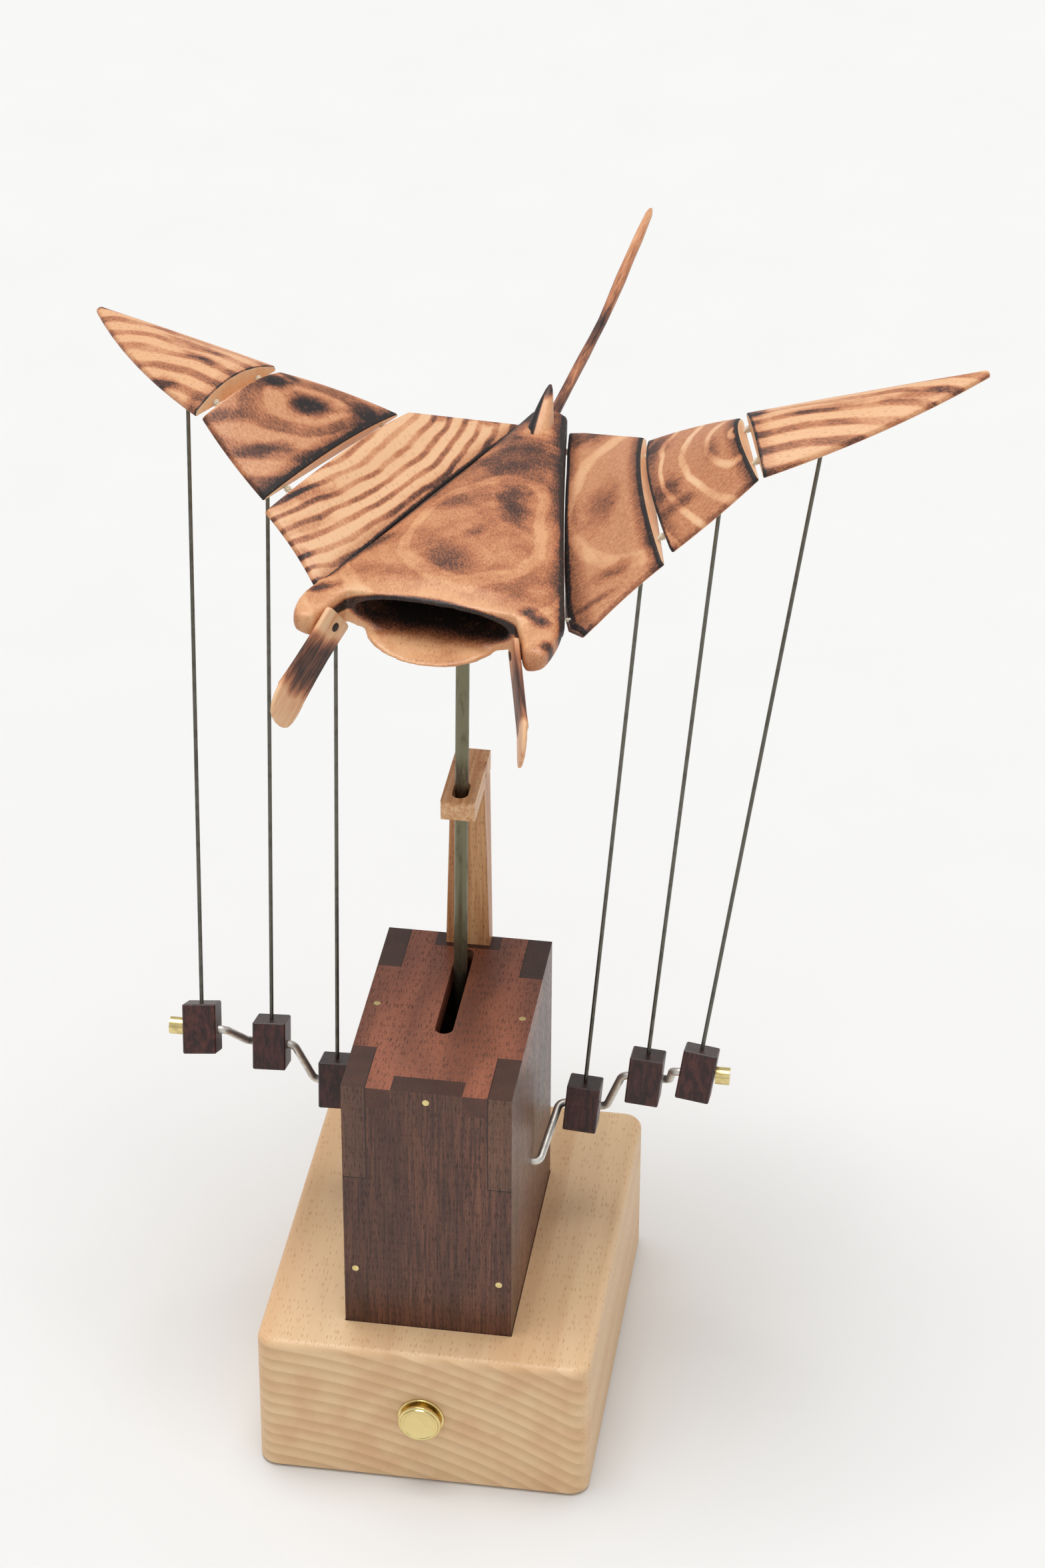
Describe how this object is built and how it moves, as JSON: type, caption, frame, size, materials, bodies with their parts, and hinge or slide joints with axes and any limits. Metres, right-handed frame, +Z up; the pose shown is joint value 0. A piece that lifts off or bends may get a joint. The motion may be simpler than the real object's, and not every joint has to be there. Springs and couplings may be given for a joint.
{
  "type": "wooden crank automaton",
  "caption": "Carved wooden manta ray on a walnut box and beech base; a bent wire crankshaft driven by an inner geared motor flaps its jointed wings through thin push rods.",
  "frame": {"origin": "centre of the base's underside", "axes": "+Z up, +X to the right of a viewer who faces the button, +Y away from that viewer towards the tail"},
  "size_m": [0.2708, 0.3011, 0.3108],
  "materials": {
    "beech": "satin oiled beech with fine flecks",
    "walnut": "oiled walnut, darker end grain",
    "pale_wood": "oiled pale hardwood",
    "dark_hardwood": "polished dark rosewood",
    "burnt_body_wood": "carved cedar, toasted and burnt with a hot tool",
    "burnt_wing_wood": "carved pale wood, toasted and burnt with a hot tool",
    "burnt_fin_wood": "carved pale wood with a burnt shaft",
    "brass": "turned, lightly tarnished",
    "bright_steel": "drawn wire, bright",
    "dull_steel": "dull rod with a brown bloom",
    "motor_plate": "pressed plate",
    "motor_can": "rolled can",
    "gear_nylon": "moulded natural nylon",
    "black_plastic": "moulded black plastic",
    "cell_jacket": "plain film jacket",
    "lead_cover": "flexible lead covering",
    "cord": "twisted linen cord"
  },
  "bodies": {
    "base": {"base_block": "beech", "base_cover": "beech", "base_cover_screws": "brass", "box_front": "walnut", "box_back": "walnut", "box_left_lower": "walnut", "box_left_upper": "walnut", "box_right_lower": "walnut", "box_right_upper": "walnut", "box_top": "walnut", "box_dowels": "brass", "guide_post": "pale_wood", "guide_arm": "pale_wood", "guide_pin": "bright_steel", "motor_gearbox": "motor_plate", "motor_can": "motor_can", "motor_bracket": "motor_plate", "motor_screws": "brass", "switch_collar": "brass", "switch_body": "black_plastic", "battery_tray": "black_plastic", "battery_cells": "cell_jacket", "inner_leads": "lead_cover"},
    "crank": {"crankshaft": "bright_steel", "crank_gear": "gear_nylon", "crank_end_collars": "brass"},
    "pinion": {"motor_pinion": "gear_nylon"},
    "button": {"switch_button": "brass"},
    "ray": {"centre_rod": "dull_steel", "centre_rod_block": "dark_hardwood", "manta_body": "burnt_body_wood", "dorsal_fin": "burnt_body_wood", "tail": "burnt_body_wood", "head_fin_pins": "motor_plate", "body_hinge_ties": "cord"},
    "left_fin": {"left_head_fin": "burnt_fin_wood"},
    "right_fin": {"right_head_fin": "burnt_fin_wood"},
    "left_inner_panel": {"left_wing_inner": "burnt_wing_wood", "left_middle_hinge_ties": "cord"},
    "left_middle_panel": {"left_wing_middle": "burnt_wing_wood", "left_outer_hinge_ties": "cord"},
    "left_outer_panel": {"left_wing_outer": "burnt_wing_wood"},
    "left_rod_1": {"rod_block_left_1": "dark_hardwood", "push_rod_left_1": "bright_steel"},
    "left_rod_2": {"rod_block_left_2": "dark_hardwood", "push_rod_left_2": "bright_steel"},
    "left_rod_3": {"rod_block_left_3": "dark_hardwood", "push_rod_left_3": "bright_steel"},
    "right_inner_panel": {"right_wing_inner": "burnt_wing_wood", "right_middle_hinge_ties": "cord"},
    "right_middle_panel": {"right_wing_middle": "burnt_wing_wood", "right_outer_hinge_ties": "cord"},
    "right_outer_panel": {"right_wing_outer": "burnt_wing_wood"},
    "right_rod_1": {"rod_block_right_1": "dark_hardwood", "push_rod_right_1": "bright_steel"},
    "right_rod_2": {"rod_block_right_2": "dark_hardwood", "push_rod_right_2": "bright_steel"},
    "right_rod_3": {"rod_block_right_3": "dark_hardwood", "push_rod_right_3": "bright_steel"}
  },
  "joints": [
    {"name": "crank_turn", "type": "hinge", "parent": "base", "child": "crank", "pos_m": [0, -0.0104, 0.0824], "axis": [1, 0, 0], "range_deg": [-15, 15]},
    {"name": "pinion_turn", "type": "hinge", "parent": "base", "child": "pinion", "pos_m": [-0.0176, -0.0324, 0.05582], "axis": [1, 0, 0], "range_deg": [-71.65, 71.65]},
    {"name": "button_press", "type": "slide", "parent": "base", "child": "button", "axis": [0, 1, 0], "range_m": [0, 0.0015], "stiffness_N_per_m": 300},
    {"name": "centre_rod_rock", "type": "hinge", "parent": "crank", "child": "ray", "pos_m": [0, 0.00782, 0.07919], "axis": [1, 0, 0], "range_deg": [-15.4, 15.4]},
    {"name": "left_inner_flap", "type": "hinge", "parent": "ray", "child": "left_inner_panel", "pos_m": [-0.01697, 0.05958, 0.26644], "axis": [0.4144, 0.9099, 0.0188], "range_deg": [-1.79, 1.79]},
    {"name": "left_middle_flap", "type": "hinge", "parent": "left_inner_panel", "child": "left_middle_panel", "pos_m": [-0.04363, 0.05983, 0.27926], "axis": [0.4516, 0.8922, -0.0043], "range_deg": [-7.67, 7.67]},
    {"name": "left_outer_flap", "type": "hinge", "parent": "left_middle_panel", "child": "left_outer_panel", "pos_m": [-0.07317, 0.06479, 0.29582], "axis": [0.4632, 0.8862, -0.0119], "range_deg": [-8.58, 8.58]},
    {"name": "left_rod_1_rock", "type": "hinge", "parent": "crank", "child": "left_rod_1", "pos_m": [-0.0377, 0.00882, 0.09112], "axis": [1, 0.0045, 0], "range_deg": [-16.39, 16.39]},
    {"name": "left_rod_2_rock", "type": "hinge", "parent": "crank", "child": "left_rod_2", "pos_m": [-0.05685, 0.00505, 0.10611], "axis": [0.9995, 0.0325, 0], "range_deg": [-17.89, 17.89]},
    {"name": "left_rod_3_rock", "type": "hinge", "parent": "crank", "child": "left_rod_3", "pos_m": [-0.07405, -0.01213, 0.12206], "axis": [0.9994, 0.0354, 0], "range_deg": [-19.36, 19.36]},
    {"name": "right_inner_flap", "type": "hinge", "parent": "ray", "child": "right_inner_panel", "pos_m": [0.02631, 0.0543, 0.26556], "axis": [0.1827, -0.9827, -0.0308], "range_deg": [-1.07, 1.07]},
    {"name": "right_middle_flap", "type": "hinge", "parent": "right_inner_panel", "child": "right_middle_panel", "pos_m": [0.05016, 0.04748, 0.28148], "axis": [0.2193, -0.9756, -0.0019], "range_deg": [-7.34, 7.34]},
    {"name": "right_outer_flap", "type": "hinge", "parent": "right_middle_panel", "child": "right_outer_panel", "pos_m": [0.07755, 0.04438, 0.30177], "axis": [0.231, -0.9729, 0.0074], "range_deg": [-8.45, 8.45]},
    {"name": "right_rod_1_rock", "type": "hinge", "parent": "crank", "child": "right_rod_1", "pos_m": [0.0377, 0.00882, 0.09112], "axis": [1, -0.003, 0], "range_deg": [-16.35, 16.35]},
    {"name": "right_rod_2_rock", "type": "hinge", "parent": "crank", "child": "right_rod_2", "pos_m": [0.05685, 0.00505, 0.10611], "axis": [0.9994, -0.0358, 0], "range_deg": [-17.68, 17.68]},
    {"name": "right_rod_3_rock", "type": "hinge", "parent": "crank", "child": "right_rod_3", "pos_m": [0.07405, -0.01213, 0.12206], "axis": [0.9985, -0.0546, 0], "range_deg": [-19.13, 19.13]},
    {"name": "left_fin_swing", "type": "hinge", "parent": "ray", "child": "left_fin", "pos_m": [-0.03193, -0.00784, 0.26178], "axis": [0.8572, -0.5141, -0.0289], "range_deg": [-12, 12]},
    {"name": "right_fin_swing", "type": "hinge", "parent": "ray", "child": "right_fin", "pos_m": [0.01849, -0.01399, 0.26076], "axis": [-0.9561, -0.2931, 0.0078], "range_deg": [-12, 12]}
  ],
  "couplings": [
    {"joint": "pinion_turn", "follows": "crank_turn", "ratio": -4.75},
    {"joint": "centre_rod_rock", "follows": "crank_turn", "ratio": -1},
    {"joint": "left_inner_flap", "follows": "crank_turn", "ratio": -0.0926},
    {"joint": "left_middle_flap", "follows": "crank_turn", "ratio": -0.4845},
    {"joint": "left_outer_flap", "follows": "crank_turn", "ratio": -0.5455},
    {"joint": "left_rod_1_rock", "follows": "crank_turn", "ratio": -1.0658},
    {"joint": "left_rod_2_rock", "follows": "crank_turn", "ratio": -1.1662},
    {"joint": "left_rod_3_rock", "follows": "crank_turn", "ratio": -1.2643},
    {"joint": "right_inner_flap", "follows": "crank_turn", "ratio": -0.0446},
    {"joint": "right_middle_flap", "follows": "crank_turn", "ratio": -0.4624},
    {"joint": "right_outer_flap", "follows": "crank_turn", "ratio": -0.5368},
    {"joint": "right_rod_1_rock", "follows": "crank_turn", "ratio": -1.0631},
    {"joint": "right_rod_2_rock", "follows": "crank_turn", "ratio": -1.1517},
    {"joint": "right_rod_3_rock", "follows": "crank_turn", "ratio": -1.2486}
  ]
}
